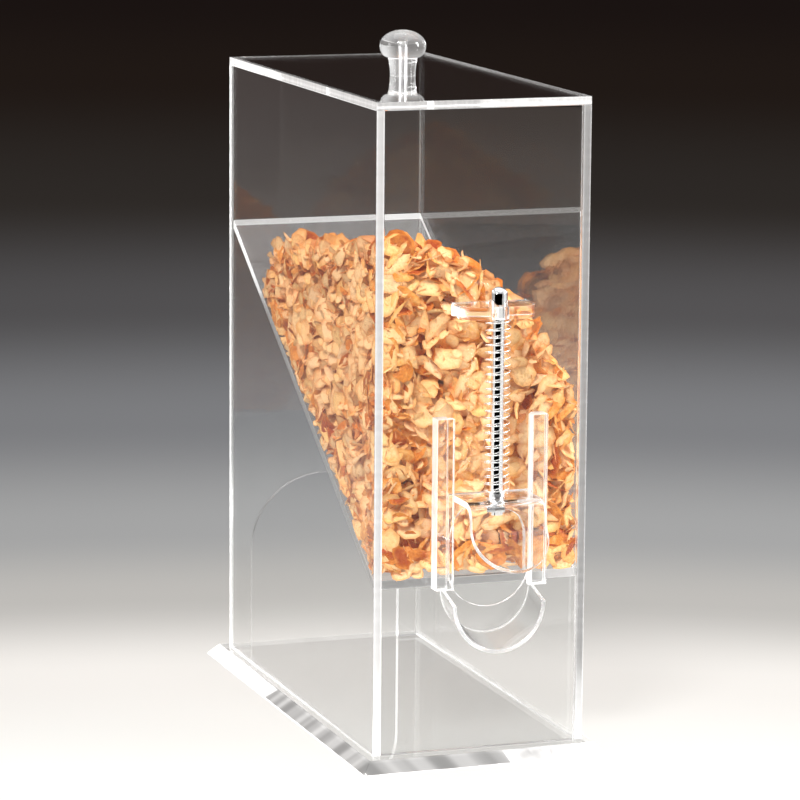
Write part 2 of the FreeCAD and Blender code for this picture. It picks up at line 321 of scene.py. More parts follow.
rod_middle = (0.0045, -0.198, 0.27)
make_card("black_card", (-0.17, -0.67, 0.145), rod_middle, 1.15, 0.29, (0, 0, 0))
make_card("front_veil_card", (0.20, -0.66, 0.38), (0.02, -0.18, 0.38), 0.6, 0.10, (0.85, 0.70, 0.62))
make_card("left_veil_card", (-0.55, 1.20, 0.22), bin_middle, 0.6, 0.44, (0.25, 0.21, 0.20))
make_card("right_rod_card", (0.75, -0.45, 0.15), rod_middle, 0.7, 0.30, (0.9, 0.9, 0.9))

# %% [markdown]
# The sky lights matt things softly from all round.  Whatever is seen, mirrored or bent sees
# a dark room instead, which is lighter overhead and at the sides.  Light goes through many
# faces of clear sheet before it reaches the camera, so it is followed for many bounces.
# Colours are shown by the plain Standard view, which keeps the highlights white.

# %% the sky and the bounces
ceiling_fade = (0.12, 0.75)  # how far up a ray points where the ceiling starts, and is full
side_fade = (0.45, 0.9)  # the same, for how far it points sideways


def make_sky(soft, dark, ceiling, sides):
    """Soft light for matt surfaces, and a dark graded room for all other rays."""
    world = bpy.data.worlds.new("studio")
    world.use_nodes = True
    tree = world.node_tree
    tree.nodes.clear()
    way = put(tree, "ShaderNodeTexCoord").outputs["Generated"]
    way = put(tree, "ShaderNodeSeparateXYZ", {0: way}).outputs
    overhead = calc(tree, "MULTIPLY", between(tree, way[2], *ceiling_fade), ceiling)
    beside = between(tree, calc(tree, "ABSOLUTE", way[0]), *side_fade)
    beside = calc(tree, "MULTIPLY", beside, sides)
    room = blend_colours(tree, 1.0, dark, calc(tree, "ADD", overhead, beside), "ADD")
    path = put(tree, "ShaderNodeLightPath").outputs
    seen = calc(tree, "MAXIMUM", path["Is Camera Ray"], path["Is Transmission Ray"])
    seen = calc(tree, "MAXIMUM", seen, path["Is Glossy Ray"])
    colour = blend_colours(tree, seen, (soft, soft, soft, 1), room)
    glow = put(tree, "ShaderNodeBackground", {"Color": colour, "Strength": 1.0})
    put(tree, "ShaderNodeOutputWorld", {0: glow.outputs[0]})
    scene.world = world


make_sky(soft=0.36, dark=(0.022, 0.015, 0.013, 1), ceiling=0.60, sides=0.60)

scene.view_settings.view_transform = "Standard"
scene.cycles.max_bounces = 32
scene.cycles.transmission_bounces = 28
scene.cycles.glossy_bounces = 12
scene.cycles.diffuse_bounces = 4
scene.cycles.transparent_max_bounces = 48
print("bounces at most:", scene.cycles.max_bounces)

# %% [markdown]
# ## Sawn edges
# Sheet acrylic is polished on its two faces, but its edges are sawn.  Light that enters a
# face runs along inside the sheet and comes out at the edges, so they glow nearly white
# with a slightly darker core.  Light piping is far too slow to trace here, so a group
# works out from the surface's direction how much of it is edge, and paints a glow there.  It
# is shared by every sheet; each gives it its own thickness direction and middle plane.
# Saw marks run across an edge and make its painted glow uneven: they are noise along one
# number, the place measured in the sheet's plane.  One end can also be given a painted
# glint, a brighter glow that stands for a light mirrored there.

# %% the sawn edge group
painted_glint_fade = 2.5 * mm
face_to_flat = (0.97, 0.9)  # the facing where the polished face ends, and a filed flat begins
saw_noise = (0.3, 0.75)  # the noise that gives the dimmest, and the brightest, saw mark


def make_sawn_edge_group():
    """A painted glow for sawn edges, with a painted glint at one end, worked out from a surface's
    direction and place.
    """
    group, start, end = new_group(
        "sawn_edge", "ShaderNodeTree",
        [("Thickness direction", VECTOR), ("Middle", FLOAT), ("Half thickness", FLOAT, 0.003),
         ("Polished above", FLOAT, 0.62), ("Sawn below", FLOAT, 0.4),
         ("Line from", FLOAT, 0.55), ("Line to", FLOAT, 0.85),
         ("Line colour", COLOUR, (1, 1, 1, 1)), ("Core colour", COLOUR, (0.5, 0.5, 0.5, 1)),
         ("Saw scale", FLOAT, 260.0), ("Saw dimmest", FLOAT, 0.80), ("Saw brightest", FLOAT, 1.05),
         ("Bright end direction", VECTOR), ("Bright end from", FLOAT, 10.0),
         ("Bright end colour", COLOUR, (0, 0, 0, 1))],
        [("Glow", COLOUR), ("Edge", FLOAT)])
    place = put(group, "ShaderNodeTexCoord").outputs["Object"]
    normal = put(group, "ShaderNodeNewGeometry").outputs["True Normal"]
    direction = start["Thickness direction"]
    facing = calc(group, "ABSOLUTE", vector_calc(group, "DOT_PRODUCT", normal, direction, output=1))
    edge = between(group, facing, start["Polished above"], start["Sawn below"])
    off_face = between(group, facing, *face_to_flat)
    depth = vector_calc(group, "DOT_PRODUCT", place, direction, output=1)
    depth = calc(group, "ABSOLUTE", calc(group, "SUBTRACT", depth, start["Middle"]))
    across = calc(group, "DIVIDE", depth, start["Half thickness"])
    line = between(group, across, start["Line from"], start["Line to"])
    line = calc(group, "MULTIPLY", line, off_face)
    through = vector_calc(group, "PROJECT", place, direction)
    in_plane = vector_calc(group, "SUBTRACT", place, through)
    cut_length = vector_calc(group, "DOT_PRODUCT", in_plane, (1, 1, 1), output=1)
    stroke = put(group, "ShaderNodeCombineXYZ", {0: cut_length}).outputs[0]
    saw = put(group, "ShaderNodeTexNoise", {"Vector": stroke, "Scale": start["Saw scale"],
                                            "Detail": 0.7, "Roughness": 0.5})
    saw = between(group, saw.outputs["Fac"], *saw_noise, start["Saw dimmest"], start["Saw brightest"])
    # painted glint: a brighter glow past a set distance along one direction
    along = vector_calc(group, "DOT_PRODUCT", place, start["Bright end direction"], output=1)
    past = calc(group, "SUBTRACT", along, start["Bright end from"])
    bright = between(group, past, 0.0, painted_glint_fade)
    edge_tone = blend_colours(group, bright, start["Core colour"], start["Bright end colour"])
    core = blend_colours(group, edge, (0, 0, 0, 1), edge_tone)
    glow = blend_colours(group, line, core, start["Line colour"])
    glow = blend_colours(group, 1.0, glow, saw, "MULTIPLY")
    group.links.new(glow, end["Glow"])
    group.links.new(edge, end["Edge"])
    return group


sawn_edge = make_sawn_edge_group()
print("sawn edge group nodes:", len(sawn_edge.nodes))

# %% [markdown]
# ## Handling marks
# Nothing that is used stays perfectly even: faces pick up faint smears and bright metal
# picks up hairlines.  One group makes that from two noises at different scales, and the
# acrylic and the metals use it for their roughness.

# %% the handling marks group
fineness = 9.0  # how much finer the second noise is than the first
wide_marks = (0.42, 0.7)  # the noise at which a mark begins, and is full
fine_marks = (0.35, 0.7)


def make_marks_group():
    """A mask of smears and hairlines, and a roughness that follows it."""
    group, start, end = new_group(
        "handling_marks", "ShaderNodeTree",
        [("Scale", FLOAT, 30.0), ("Least", FLOAT, 0.0), ("Most", FLOAT, 0.1)],
        [("Roughness", FLOAT), ("Marks", FLOAT)])
    place = put(group, "ShaderNodeTexCoord").outputs["Object"]
    wide = put(group, "ShaderNodeTexNoise", {"Vector": place, "Scale": start["Scale"], "Detail": 3.0})
    fine_scale = calc(group, "MULTIPLY", start["Scale"], fineness)
    fine = put(group, "ShaderNodeTexNoise", {"Vector": place, "Scale": fine_scale, "Detail": 2.0})
    marks = calc(group, "MULTIPLY", between(group, wide.outputs["Fac"], *wide_marks),
                 between(group, fine.outputs["Fac"], *fine_marks))
    roughness = put(group, "ShaderNodeMapRange", {0: marks, 3: start["Least"], 4: start["Most"]})
    group.links.new(roughness.outputs[0], end["Roughness"])
    group.links.new(marks, end["Marks"])
    return group


handling_marks = make_marks_group()
print("handling marks group nodes:", len(handling_marks.nodes))

# %% [markdown]
# ## Clear acrylic
# The sheets are real glass-like solids, so that they bend and mirror as thick sheet does.
# Shadows and soft bounced light go straight through, because bent light would leave the
# flakes inside dark and speckled.

# %% the acrylic
acrylic_ior = 1.49
acrylic_tint = (0.988, 0.991, 0.990, 1)
sawn_roughness = 0.3


def grey(level, warmth=0.04):
    """A grey that leans a little to cream."""
    return (level, level * (1 - warmth / 2), level * (1 - warmth), 1)


def make_acrylic(name, edge=None, painted_glow=0.0, saw_marks=sawn_roughness):
    """Clear acrylic, with an even painted glow, or edges that glow by the edge group's values."""
    material, tree, out = new_material(name)
    marks = use_group(tree, handling_marks, {"Scale": 22.0, "Least": 0.0, "Most": 0.03})
    clear = put(tree, "ShaderNodeBsdfPrincipled",
                {"Base Color": acrylic_tint, "Transmission Weight": 1.0, "IOR": acrylic_ior,
                 "Roughness": marks["Roughness"], "Emission Color": grey(painted_glow),
                 "Emission Strength": 1.0})
    if edge:
        sawn = use_group(tree, sawn_edge, edge)
        tree.links.new(sawn["Glow"], clear.inputs["Emission Color"])
        rough = calc(tree, "MULTIPLY", sawn["Edge"], saw_marks)
        rough = calc(tree, "MAXIMUM", rough, marks["Roughness"])
        tree.links.new(rough, clear.inputs["Roughness"])
    straight = put(tree, "ShaderNodeBsdfTransparent", {"Color": (1, 1, 1, 1)})
    path = put(tree, "ShaderNodeLightPath").outputs
    soft = calc(tree, "MAXIMUM", path["Is Shadow Ray"], path["Is Diffuse Ray"])
    mix = put(tree, "ShaderNodeMixShader", {0: soft, 1: clear.outputs[0], 2: straight.outputs[0]})
    tree.links.new(mix.outputs[0], out.inputs[0])
    material.cycles.emission_sampling = "NONE"
    return material


print("acrylic bends light by", acrylic_ior)

# %% [markdown]
# ## Glued sheets
# Where two sheets are glued, their faces lie in one plane, and a ray of light can't tell
# which solid it is in.  So each sheet is shown by a copy that is eased back by a few
# hundredths of a millimetre, which is the glue line, and has its sharp edges broken with a
# file as any cut sheet has.  The small flats catch the light, and the painted edge glow
# brightens them too, which draws the outlines.

# %% ease a sheet
glue_ease = 0.04 * mm
filed_flat = 0.3 * mm
flat_angle = math.radians(0.1)
sharp_angle = math.radians(15)


def ease(node_name, material, flat=filed_flat):
    """Shows a CAD piece by a copy that is eased off its neighbours and filed."""
    shape = merged_copy(node_name)
    bmesh.ops.dissolve_limit(shape, angle_limit=flat_angle, verts=shape.verts, edges=shape.edges)
    shape.normal_update()
    for corner in shape.verts:
        corner.co -= corner.normal * glue_ease
    sharp = [e for e in shape.edges if len(e.link_faces) == 2 and e.calc_face_angle() > sharp_angle]
    if flat:
        bmesh.ops.bevel(shape, geom=sharp, offset=flat, segments=1, affect="EDGES",
                        clamp_overlap=True)
    for face in shape.faces:
        face.smooth = True
    piece = new_piece(node_name + "_clear", shape)
    piece.data.set_sharp_from_angle(angle=sharp_angle)
    piece.data.materials.append(material)
    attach(piece, nodes[node_name]["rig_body"])
    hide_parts(node_name)
    return piece


def sheet_middle(node_name, direction):
    """Middle plane and half thickness of a flat sheet along its thickness direction."""
    along = [v.co.dot(direction) for v in nodes[node_name].data.vertices]
    return (max(along) + min(along)) / 2, (max(along) - min(along)) / 2


print("glue line, mm: %.2f; filed flat, mm: %.1f" % (glue_ease / mm, filed_flat / mm))

# %% [markdown]
# Each sheet names the direction of its thickness and how strongly its edges' painted glow
# shows.  The side walls and the foot plate glow most, while edges that are glued to a
# neighbour, or cut smooth like the arches, hardly glow at all.  The foot plate's rim and the
# ends of the ramp are cut at a slant, so there the group counts more slanted surfaces as
# edge.  A few edges are polished after the saw, and blur less of what is seen through them.
# The painted glow on the foot plate's bevel is broken into coarser, stronger blocks of
# painted light and shade, the bracket's left end gets a painted glint, and the back panel's
# edges aren't filed.

# %% the flat sheets
ramp_low, ramp_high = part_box("ramp")
ramp_back, ramp_front = ramp_high.y, ramp_low.y
ramp_crest = ramp_high.z
ramp_lip = max(v.co.z for v in nodes["ramp"].data.vertices if v.co.y < ramp_front + 1 * mm)
ramp_slope = (ramp_crest - ramp_lip) / (ramp_back - ramp_front)
ramp_normal = Vector((0, -ramp_slope, 1)).normalized()

sheets = {  # thickness direction, glow of the outlines, glow of the core
    "left_panel": (X, 0.80, 0.50), "right_panel": (X, 0.62, 0.36),
    "front_panel": (Y, 0.15, 0.04), "back_panel": (Y, 0.03, 0.01),
    "ramp": (ramp_normal, 0.40, 0.30), "lid": (Z, 0.42, 0.34), "base_plate": (Z, 0.78, 0.70),
    "spring_bracket": (Z, 0.05, 0.01), "gate_plate": (Y, 0.42, 0.10),
    "guide_spacer_left": (Y, 0.20, 0.08), "guide_spacer_right": (Y, 0.20, 0.08),
    "guide_cover_left": (Y, 0.48, 0.14), "guide_cover_right": (Y, 0.48, 0.14),
}
bracket_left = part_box("spring_bracket")[0].x
painted_glint_length = 4 * mm
edge_details = {
    # coarse, strong blocks of painted light and shade in the foot plate's edge glow
    "base_plate": {"Polished above": 0.85, "Sawn below": 0.75, "Saw scale": 55.0,
                   "Saw dimmest": 0.50, "Saw brightest": 1.15},
    "ramp": {"Polished above": 0.75, "Sawn below": 0.6},
    # the bracket's left end gets a painted glint, for the light at its left that it mirrors
    "spring_bracket": {"Bright end direction": -X, "Bright end from": -bracket_left - painted_glint_length,
                       "Bright end colour": grey(0.9)},
}
polished_edges = {"base_plate": 0.02, "lid": 0.06, "spring_bracket": 0.0}
unfiled = ("back_panel",)
for node_name, (direction, line, core) in sheets.items():
    middle, half = sheet_middle(node_name, direction)
    edge = {"Thickness direction": direction, "Middle": middle, "Half thickness": half,
            "Line colour": grey(line), "Core colour": grey(core)}
    edge.update(edge_details.get(node_name, {}))
    acrylic = make_acrylic("acrylic_" + node_name, edge,
                           saw_marks=polished_edges.get(node_name, sawn_roughness))
    ease(node_name, acrylic, flat=0 if node_name in unfiled else filed_flat)
    print("%-20s %.2f mm sheet" % (node_name, 2 * half / mm))

# %% [markdown]
# ## Bent and moulded acrylic
# The lip is a strip bent over a hot wire, and the spout is a half pipe: their edges are
# sawn too, but there the polished faces turn.  The edge is then what faces along one
# direction instead of what doesn't, so the same group is given its two limits the other
# way round.  The spout's edges have no outline, so it is given a thickness far past its
# own.  The knob is moulded: it has no sawn edge, but a faint, even painted glow all
# through it stands for the light it gathers from the room.

# %% lip, spout and knob
lip_low, lip_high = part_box("lift_lip")
lip_edge = {"Thickness direction": X, "Middle": (lip_low.x + lip_high.x) / 2,
            "Half thickness": (lip_high.x - lip_low.x) / 2, "Polished above": 0.3,
            "Sawn below": 0.6, "Line from": 0.985, "Line to": 0.99, "Line colour": grey(0.6),
            "Core colour": grey(0.22)}
spout_slope = math.radians(15)
spout_axis = Vector((0, -math.cos(spout_slope), -math.sin(spout_slope)))
no_outline = 1.0
spout_edge = {"Thickness direction": spout_axis, "Half thickness": no_outline,
              "Polished above": 0.5, "Sawn below": 0.8, "Core colour": grey(0.15)}
# painted glow of the knob, an even emission in place of gathered light
knob_painted_glow = 0.11
ease("lift_lip", make_acrylic("acrylic_lift_lip", lip_edge))
ease("spout", make_acrylic("acrylic_spout", spout_edge))
ease("lid_knob", make_acrylic("acrylic_lid_knob", painted_glow=knob_painted_glow), flat=0)

# %% [markdown]
# ## Bright metal
# Rod, cap, collar, nut and bushing are chromed: nearly white mirrors with hairlines.  The
# spring is drawn wire, a little duller, and the screw is plain steel.

# %% the metals
def make_metal(name, colour, least, most, scale):
    """Bright metal whose roughness follows the handling marks."""
    material, tree, out = new_material(name)
    marks = use_group(tree, handling_marks, {"Scale": scale, "Least": least, "Most": most})
    bump = put(tree, "ShaderNodeBump", {"Height": marks["Marks"], "Strength": 0.15,
                                        "Distance": 0.1 * mm})
    metal = put(tree, "ShaderNodeBsdfPrincipled",
                {"Base Color": (*colour, 1), "Metallic": 1.0, "Roughness": marks["Roughness"],
                 "Normal": bump.outputs[0]})
    tree.links.new(metal.outputs[0], out.inputs[0])
    return material


def finish_node(node_name, material):
    """Gives a CAD node a finish through its object's material slots."""
    for slot in nodes[node_name].material_slots:
        slot.link = "OBJECT"
        slot.material = material


chrome = make_metal("chrome", (0.90, 0.91, 0.92), 0.03, 0.12, 120.0)
spring_wire = make_metal("spring_wire", (0.92, 0.92, 0.91), 0.26, 0.40, 400.0)
screw_steel = make_metal("screw_steel", (0.78, 0.78, 0.79), 0.15, 0.30, 200.0)
for node_name in ("bracket_bushing", "lift_rod", "rod_cap", "rod_collar", "rod_nut"):
    finish_node(node_name, chrome)
finish_node("knob_screw", screw_steel)
print("metal finishes:", chrome.name, spring_wire.name, screw_steel.name)

# %% [markdown]
# ## The spring
# The spring sits between the bracket and the lip, so it closes up as the gate rises, while
# its wire stays as thick as it is.  Flattening the CAD spring would thin the wire as well.
# So it is shown by its centre line alone, a helix of edges on a mesh of its own, built at
# rest; its upper end is the fixed one.  A live Skin modifier then gives it its wire, and a
# subdivision rounds it.

# %% the spring's wire
wire_thickness = 1.3 * mm
coil_pitch = 5.3 * mm
points_per_turn = 20
skin_reach = math.sqrt(2)  # how far a rounded skin stands out, in its own radii

spring_low, spring_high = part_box("lift_spring")


def make_spring():
    """The spring's helix, with a live skin that keeps its thickness when it is flattened."""
    middle = (spring_low + spring_high) / 2
    coil_radius = (spring_high.x - spring_low.x - wire_thickness) / 2
    height = spring_high.z - spring_low.z - wire_thickness
    count = round(height / coil_pitch) * points_per_turn
    skin_radius = wire_thickness / 2 / skin_reach
    shape = bmesh.new()
    skin = shape.verts.layers.skin.verify()
    line = []
    for k in range(count + 1):
        angle = 2 * math.pi * k / points_per_turn
        rise = spring_low.z + wire_thickness / 2 + height * k / count
        point = shape.verts.new((middle.x + coil_radius * math.cos(angle),
                                 middle.y + coil_radius * math.sin(angle), rise))
        point[skin].radius = (skin_radius, skin_radius)
        point[skin].use_root = k == 0
        line.append(point)
    for first, second in zip(line, line[1:]):
        shape.edges.new((first, second))
    spring = new_piece("lift_spring_wire", shape)
    spring.modifiers.new("wire", "SKIN").use_smooth_shade = True
    rounding = spring.modifiers.new("rounding", "SUBSURF")
    rounding.levels = rounding.render_levels = 1
    spring.data.materials.append(spring_wire)
    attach(spring, nodes["lift_spring"]["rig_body"])
    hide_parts("lift_spring")
    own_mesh(spring)
    return spring


spring = make_spring()
skinned = spring.evaluated_get(bpy.context.evaluated_depsgraph_get())
print("spring across, mm: %.2f, as CAD: %.2f; faces: %d" % (
    skinned.dimensions.x / mm, (spring_high.x - spring_low.x) / mm, len(skinned.data.polygons)))

# %% [markdown]
# ## The flakes
# The bin is full of toasted flakes: thin, curled, blistered ovals about 10 to 30 mm long
# that lie against the walls and slope away at the top.  Each could be dropped by a physics
# simulation, but thousands of bodies are slow and only the outer ones are seen.  Instead,
# flakes are scattered over the heap's own surface in four layers, tilted at random, and
# pressed flat where they would go through a wall.  A lump in painted shade fills the middle.

# %% flake shapes
flake_shapes = 9
flake_seed = 41
flake_half = 0.035  # half thickness, in flake radii
long_sides, lobes = (1.0, 1.4), (0.15, 0.45)  # the least and the most of each
curls, twists, dishes = (0.0, 0.25), (-0.15, 0.15), (-0.1, 0.1)
ragged = 0.2
jagged = 0.11
crinkle = 0.13
lobe_scale, ragged_scale, crinkle_scale = 0.9, 2.7, 1.8
noise_step = 7.3  # how far apart in the noise two shapes are taken
inner_radius = 0.55
inner_count = 7
rim_count = 2 * inner_count


def make_flake(index):
    """One thin flake of radius 1 with a ragged, sharp rim; it notes how near the rim it is."""
    dice = random.Random(flake_seed + index)
    long_side, lobed = dice.uniform(*long_sides), dice.uniform(*lobes)
    curl, twist, dish = dice.uniform(*curls), dice.uniform(*twists), dice.uniform(*dishes)
    offset = Vector((index * noise_step, flake_seed, 0))
    shape = bmesh.new()
    rim_shares = []

    def point(radius, angle, rise):
        round_rim = Vector((math.cos(angle), math.sin(angle), index))
        reach = 1 + lobed * noise.noise(round_rim * lobe_scale)
        reach += ragged * noise.noise(round_rim * ragged_scale)
        reach = radius * (reach + radius ** 4 * dice.uniform(-jagged, jagged))
        x, y = reach * math.cos(angle) * long_side, reach * math.sin(angle) / long_side ** 0.5
        height = curl * y * y + twist * x * y + dish * x * x
        height += crinkle * noise.noise(Vector((x, y, 0)) * crinkle_scale + offset)
        rim_shares.append(radius ** 2)
        return shape.verts.new((x, y, height + rise))

    def ring(radius, count, turn, rise):
        return [point(radius, 2 * math.pi * (k + turn) / count, rise) for k in range(count)]

    rim = ring(1.0, rim_count, 0.5, 0.0)
    for side in (1, -1):
        centre = point(0, 0, side * flake_half)
        inner = ring(inner_radius, inner_count, 0.0, side * flake_half)
        for k in range(inner_count):
            after = (k + 1) % inner_count
            for corners in ((centre, inner[k], inner[after]),
                            (inner[k], rim[2 * k - 1], rim[2 * k]),
                            (inner[k], rim[2 * k], inner[after]),
                            (inner[after], rim[2 * k], rim[2 * k + 1])):
                shape.faces.new(corners[::side]).smooth = True
    for edge in shape.edges:
        edge.smooth = not all(corner in rim for corner in edge.verts)
    bmesh.ops.recalc_face_normals(shape, faces=shape.faces)
    mesh = bpy.data.meshes.new("flake_%d" % index)
    shape.to_mesh(mesh)
    shape.free()
    mesh.attributes.new("rim", "FLOAT", "POINT").data.foreach_set("value", rim_shares)
    return bpy.data.objects.new("flake_%d" % index, mesh)


flake_kinds = bpy.data.collections.new("flake_kinds")
for index in range(flake_shapes):
    flake_kinds.objects.link(make_flake(index))

# %% [markdown]
# The scatter needs three small tools: a random value for each point, a press and a random
# turn.  A press keeps flakes in order instead of cutting them off flat: a point at distance
# t from a wall moves to (t + sqrt(t * t + k * k)) / 2, which never goes below nought.

# %% tools of the scatter tree
def random_value(tree, kind, low, high, seed):
    """A random number, whole number or vector for each point."""
    first, output = {"FLOAT_VECTOR": (0, 0), "FLOAT": (2, 1), "INT": (4, 2)}[kind]
    node = put(tree, "FunctionNodeRandomValue", {first: low, first + 1: high, "Seed": seed},
               data_type=kind)
    return node.outputs[output]


def move_along(tree, geometry, direction, distance):
    """Moves points along a direction."""
    offset = put(tree, "ShaderNodeVectorMath", {0: direction, "Scale": distance}, operation="SCALE")
    return put(tree, "GeometryNodeSetPosition",
               {"Geometry": geometry, "Offset": offset.outputs[0]}).outputs[0]


def press_inside(tree, geometry, point, normal, softness):
    """Moves whatever is near or behind a plane to its front."""
    place = put(tree, "GeometryNodeInputPosition").outputs[0]
    t = vector_calc(tree, "DOT_PRODUCT", vector_calc(tree, "SUBTRACT", place, point), normal, output=1)
    square = calc(tree, "MULTIPLY_ADD", t, t, calc(tree, "MULTIPLY", softness, softness))
    shift = calc(tree, "MULTIPLY", calc(tree, "SUBTRACT", calc(tree, "SQRT", square), t), 0.5)
    return move_along(tree, geometry, normal, shift)


def random_turn(tree, start, normal):
    """Each flake faces out and to the front, leans by up to the tilt and turns any way."""
    outwards = vector_calc(tree, "ADD", normal, start["Lean"])
    facing = put(tree, "FunctionNodeAlignRotationToVector", {"Vector": outwards}, axis="Z").outputs[0]
    lean = calc(tree, "MULTIPLY", start["Tilt"], -1.0)
    low = put(tree, "ShaderNodeCombineXYZ", {0: lean, 1: lean, 2: 0.0}).outputs[0]
    high = put(tree, "ShaderNodeCombineXYZ", {0: start["Tilt"], 1: start["Tilt"], 2: 2 * math.pi})
    turn = random_value(tree, "FLOAT_VECTOR", low, high.outputs[0], start["Seed"])
    turn = put(tree, "FunctionNodeEulerToRotation", {0: turn}).outputs[0]
    return put(tree, "FunctionNodeRotateRotation", {0: facing, 1: turn}, rotation_space="LOCAL").outputs[0]


# %% [markdown]
# The scatter tree: points a set spacing apart on the heap's surface, sunk to the layer's
# depth, one of the flake shapes at each, turned and sized at random, then made real and
# pressed inside four planes.

# %% the scatter tree
walls = ("Left", "Right", "Front", "Floor")
densest = 60000.0  # points to a square metre, more than the spacing leaves room for


def make_scatter_tree():
    """The scatter, with an input for each of its sizes and for each wall's plane."""
    inputs = [("Heap", "NodeSocketGeometry"), ("Flake kinds", "NodeSocketCollection"),
              ("Finish", "NodeSocketMaterial"), ("Last kind", "NodeSocketInt", flake_shapes - 1),
              ("Spacing", FLOAT, 0.008), ("Shallowest", FLOAT, 0.001), ("Deepest", FLOAT, 0.002),
              ("Smallest", FLOAT, 0.006), ("Largest", FLOAT, 0.010), ("Tilt", FLOAT, 0.5),
              ("Palest", FLOAT, 1.0), ("Darkest", FLOAT, 0.0), ("Lean", VECTOR),
              ("Softness", FLOAT, 0.002), ("Seed", "NodeSocketInt", 0)]
    for wall in walls:
        inputs += [(wall + " point", VECTOR), (wall + " normal", VECTOR)]
    tree, start, end = new_group("scatter_flakes", "GeometryNodeTree", inputs,
                                 [("Flakes", "NodeSocketGeometry")])
    tree.is_modifier = True
    seeds = [calc(tree, "ADD", start["Seed"], float(extra)) for extra in (1, 2, 3, 4)]
    points = put(tree, "GeometryNodeDistributePointsOnFaces",
                 {"Mesh": start["Heap"], "Distance Min": start["Spacing"], "Density Max": densest,
                  "Seed": start["Seed"]}, distribute_method="POISSON").outputs
    turn = random_turn(tree, start, points["Normal"])
    depth = random_value(tree, "FLOAT", start["Shallowest"], start["Deepest"], seeds[3])
    sunk = move_along(tree, points["Points"], points["Normal"], calc(tree, "MULTIPLY", depth, -1.0))
    kinds = put(tree, "GeometryNodeCollectionInfo",
                {"Collection": start["Flake kinds"], "Separate Children": True, "Reset Children": True})
    flakes = put(tree, "GeometryNodeInstanceOnPoints",
                 {"Points": sunk, "Instance": kinds.outputs[0], "Pick Instance": True,
                  "Instance Index": random_value(tree, "INT", 0, start["Last kind"], seeds[1]),
                  "Rotation": turn,
                  "Scale": random_value(tree, "FLOAT", start["Smallest"], start["Largest"], seeds[0])})
    toned = put(tree, "GeometryNodeStoreNamedAttribute",
                {"Geometry": flakes.outputs[0], "Name": "tone",
                 "Value": random_value(tree, "FLOAT", start["Darkest"], start["Palest"], seeds[2])},
                data_type="FLOAT", domain="INSTANCE")
    real = put(tree, "GeometryNodeRealizeInstances", {"Geometry": toned.outputs[0]}).outputs[0]
    for wall in walls:
        real = press_inside(tree, real, start[wall + " point"], start[wall + " normal"], start["Softness"])
    painted = put(tree, "GeometryNodeSetMaterial", {"Geometry": real, "Material": start["Finish"]})
    tree.links.new(painted.outputs[0], end["Flakes"])
    return tree


scatter_tree = make_scatter_tree()
print("scatter tree nodes:", len(scatter_tree.nodes))

# %% [markdown]
# ## Toasted finish
# Each flake has its own tone, from pale gold to deep amber, with browner blisters and rims
# and paler powdery patches.  Light sinks into a heap and turns redder, so the deeper layers
# are given darker tones.  Thin flakes also let some light seep through, which a weak glow of
# their own colour stands for.  The bump carries blisters and pores too small to model.

# %% the toasted finish
toast_tones = ((0.05, (0.38, 0.060, 0.005)), (0.24, (0.76, 0.26, 0.040)),
               (0.42, (0.93, 0.52, 0.175)), (0.62, (0.95, 0.59, 0.270)), (0.92, (0.93, 0.58, 0.31)))
scorched = (0.68, 0.23, 0.03)
mottle_scale, blister_scale, pore_scale = 170.0, 330.0, 900.0
pattern_shift = 3.0  # in metres for a whole tone, so that neighbours differ in pattern too
tone_share, mottle_share = 0.55, 0.6
blister_slope, blister_toast = (0.34, 0.12), 0.35
rim_slope, rim_toast = (0.45, 1.02), 0.6
blister_height, pore_height = 0.7, 0.25
mottle_range, crust_roughness = (0.3, 0.7), (0.42, 0.62)
seeping_light = 0.06


def make_toasted(name, shade):
    """Flake finish; shade darkens the whole of it for what lies deep in the heap."""
    material, tree, out = new_material(name)
    place = put(tree, "ShaderNodeTexCoord").outputs["Object"]
    tone = put(tree, "ShaderNodeAttribute", attribute_name="tone").outputs["Fac"]
    shift = put(tree, "ShaderNodeCombineXYZ", {2: calc(tree, "MULTIPLY", tone, pattern_shift)})
    place = vector_calc(tree, "ADD", place, shift.outputs[0])
    mottle = put(tree, "ShaderNodeTexNoise", {"Vector": place, "Scale": mottle_scale, "Detail": 4.0,
                                              "Roughness": 0.6}).outputs["Fac"]
    pores = put(tree, "ShaderNodeTexNoise", {"Vector": place, "Scale": pore_scale, "Detail": 2.0})
    blisters = put(tree, "ShaderNodeTexVoronoi", {"Vector": place, "Scale": blister_scale})
    blisters = blisters.outputs["Distance"]
    mottling = calc(tree, "MULTIPLY", mottle, mottle_share)
    mixed = calc(tree, "MULTIPLY_ADD", tone, tone_share, mottling)
    tones = [(position, [c * shade for c in colour]) for position, colour in toast_tones]
    base = colour_stops(tree, mixed, tones)
    spots = between(tree, blisters, *blister_slope, 0.0, blister_toast)
    rim = put(tree, "ShaderNodeAttribute", attribute_name="rim").outputs["Fac"]
    toast = calc(tree, "MAXIMUM", spots, between(tree, rim, *rim_slope, 0.0, rim_toast))
    colour = blend_colours(tree, toast, base, (*(c * shade for c in scorched), 1))
    pitting = calc(tree, "MULTIPLY", pores.outputs["Fac"], pore_height)
    height = calc(tree, "MULTIPLY_ADD", blisters, blister_height, pitting)
    bump = put(tree, "ShaderNodeBump", {"Height": height, "Strength": 0.9, "Distance": 1.0 * mm})
    rough = between(tree, mottle, *mottle_range, *crust_roughness)
    crust = put(tree, "ShaderNodeBsdfPrincipled",
                {"Base Color": colour, "Roughness": rough, "Specular IOR Level": 0.18,
                 "Normal": bump.outputs[0], "Emission Color": colour,
                 "Emission Strength": seeping_light})
    tree.links.new(crust.outputs[0], out.inputs[0])
    return material


toasted = make_toasted("toasted_flake", 1.0)
